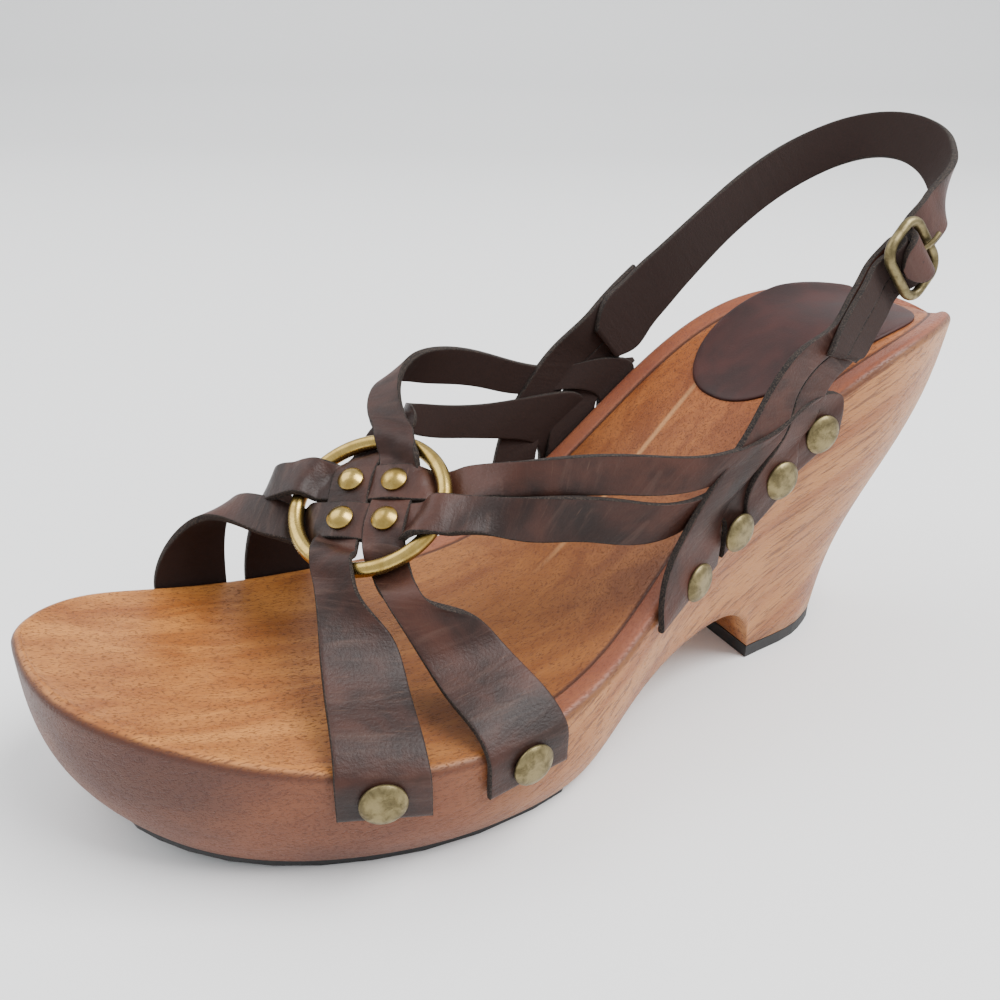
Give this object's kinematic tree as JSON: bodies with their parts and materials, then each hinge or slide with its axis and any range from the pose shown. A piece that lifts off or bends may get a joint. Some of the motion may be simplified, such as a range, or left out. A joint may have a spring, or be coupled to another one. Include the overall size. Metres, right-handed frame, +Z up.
{
  "type": "wooden sole sandal",
  "caption": "Slingback sandal on a carved wooden platform sole with a high heel; leather straps woven through a brass ring, nailed to the sides with round studs, and a buckled heel strap",
  "frame": {"origin": "On the floor, under the middle of the whole sandal's bounding box.", "axes": "+X points to the toe, +Y to the wearer's left, which is the outer side of this left shoe, and +Z points up."},
  "size_m": [0.254, 0.0988, 0.1418],
  "materials": {
    "wood": "satin varnish",
    "rubber": "matte",
    "pad_leather": "smooth",
    "strap_leather": "waxed",
    "bright_brass": "antique brass",
    "aged_brass": "aged brass"
  },
  "bodies": {
    "root": {"sole_wood": "wood", "outsole_forefoot": "rubber", "heel_toplift": "rubber", "heel_pad": "pad_leather", "upper_straps": "strap_leather", "sling_strap": "strap_leather", "ring": "bright_brass", "rivet_1": "bright_brass", "rivet_2": "bright_brass", "rivet_3": "bright_brass", "rivet_4": "bright_brass", "stud_01": "aged_brass", "stud_02": "aged_brass", "stud_03": "aged_brass", "stud_04": "aged_brass", "stud_05": "aged_brass", "stud_06": "aged_brass", "stud_07": "aged_brass", "stud_08": "aged_brass", "stud_09": "aged_brass", "stud_10": "aged_brass", "stud_11": "aged_brass", "stud_12": "aged_brass", "buckle_frame": "aged_brass", "buckle_prong": "aged_brass"}
  },
  "joints": []
}
